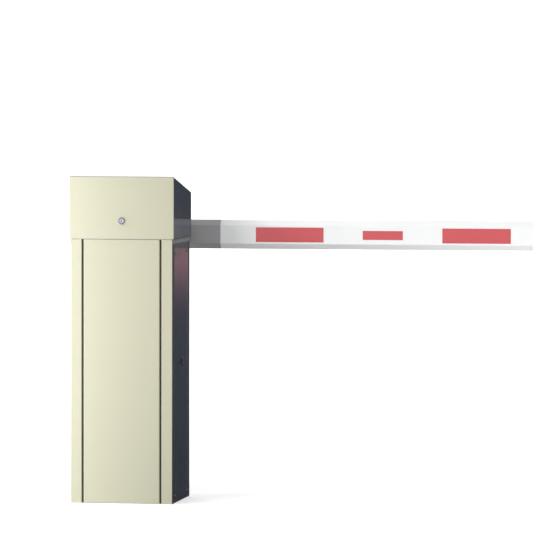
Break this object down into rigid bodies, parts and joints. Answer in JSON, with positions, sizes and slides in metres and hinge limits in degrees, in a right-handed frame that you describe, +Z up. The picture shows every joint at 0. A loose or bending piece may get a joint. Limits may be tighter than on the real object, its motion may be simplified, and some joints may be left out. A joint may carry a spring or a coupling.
{
  "type": "boom barrier",
  "caption": "Road boom barrier: a sheet-metal cabinet with a sloping lift-off lid, and a long eight-sided striped boom that swings up on the drive's output shaft.",
  "frame": {"origin": "middle of the underside of the base plate, on the ground", "axes": "+X along the lowered boom, -Y out of the front door and lock, +Z up"},
  "size_m": [4.122, 0.4115, 1.0245],
  "materials": {
    "frame_steel": "satin",
    "cream_paint": "satin",
    "dark_paint": "satin",
    "side_gloss": "gloss",
    "photocell_black": "gloss",
    "cast_metal": "matte",
    "motor_black": "satin",
    "control_plastic": "matte",
    "lock_metal": "polished",
    "lock_brass": "satin",
    "shaft_steel": "satin",
    "arm_grey": "satin",
    "cap_plastic": "matte",
    "boom_white": "gloss",
    "red_film": "gloss"
  },
  "bodies": {
    "cabinet": {"back_panel": "cream_paint", "base_plate": "frame_steel", "control_box": "control_plastic", "control_bracket": "frame_steel", "corner_post_back_left": "frame_steel", "corner_post_back_right": "frame_steel", "corner_post_front_left": "frame_steel", "corner_post_front_right": "frame_steel", "corner_strip_back_left": "cream_paint", "corner_strip_back_right": "cream_paint", "corner_strip_front_left": "cream_paint", "corner_strip_front_right": "cream_paint", "drive_motor": "motor_black", "drive_plate": "frame_steel", "front_door": "cream_paint", "gearbox_housing": "cast_metal", "lock_strike": "frame_steel", "photocell_left": "photocell_black", "photocell_right": "photocell_black", "shaft_bearing": "cast_metal", "side_panel_left": "side_gloss", "side_panel_right": "side_gloss", "side_wall_left": "dark_paint", "side_wall_right": "dark_paint", "top_frame": "frame_steel"},
    "lid": {"lid_hood": "side_gloss", "lid_front": "cream_paint", "lid_back": "cream_paint", "lock_barrel": "lock_metal", "lock_plug": "lock_brass"},
    "boom": {"output_shaft": "shaft_steel", "boom_arm": "arm_grey", "hub_cap": "cap_plastic", "boom_tube": "boom_white", "boom_end_cap": "cap_plastic", "boom_stripes_front": "red_film", "boom_stripes_back": "red_film", "boom_dash": "red_film"}
  },
  "joints": [
    {"name": "boom_lift", "type": "hinge", "parent": "cabinet", "child": "boom", "pos_m": [0, 0.21, 0.834], "axis": [0, -1, 0], "range_deg": [0, 90]},
    {"name": "lid_lift", "type": "slide", "parent": "cabinet", "child": "lid", "axis": [0, 0, 1], "range_m": [0, 0.25]}
  ]
}
